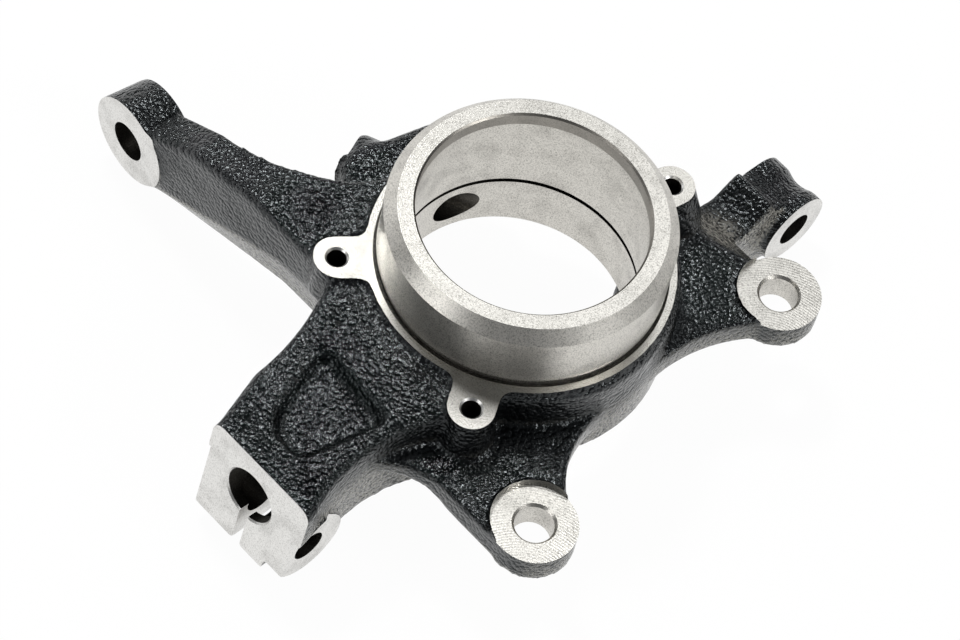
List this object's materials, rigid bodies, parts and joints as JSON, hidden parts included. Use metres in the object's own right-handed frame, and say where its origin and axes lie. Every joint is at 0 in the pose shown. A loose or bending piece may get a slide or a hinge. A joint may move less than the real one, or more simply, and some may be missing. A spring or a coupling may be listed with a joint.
{
  "type": "steering knuckle",
  "caption": "Cast steering knuckle with a turned bearing ring, splash-shield flange, caliper ears, ball-joint pinch clamp, tie-rod arm and strut lug.",
  "frame": {"origin": "wheel-bearing axis at the plane of the splash-shield flange", "axes": "+Z along the wheel-bearing axis towards the outer end (wheel side); -Y towards the ball-joint clamp; +Y towards the strut lug; -X towards the tie-rod arm"},
  "size_m": [0.2399, 0.2476, 0.0891],
  "materials": {
    "painted_casting": "rough cast iron under black semi-gloss paint, bright bare iron where it is machined"
  },
  "bodies": {
    "root": {"steering_knuckle": "painted_casting"}
  },
  "joints": []
}
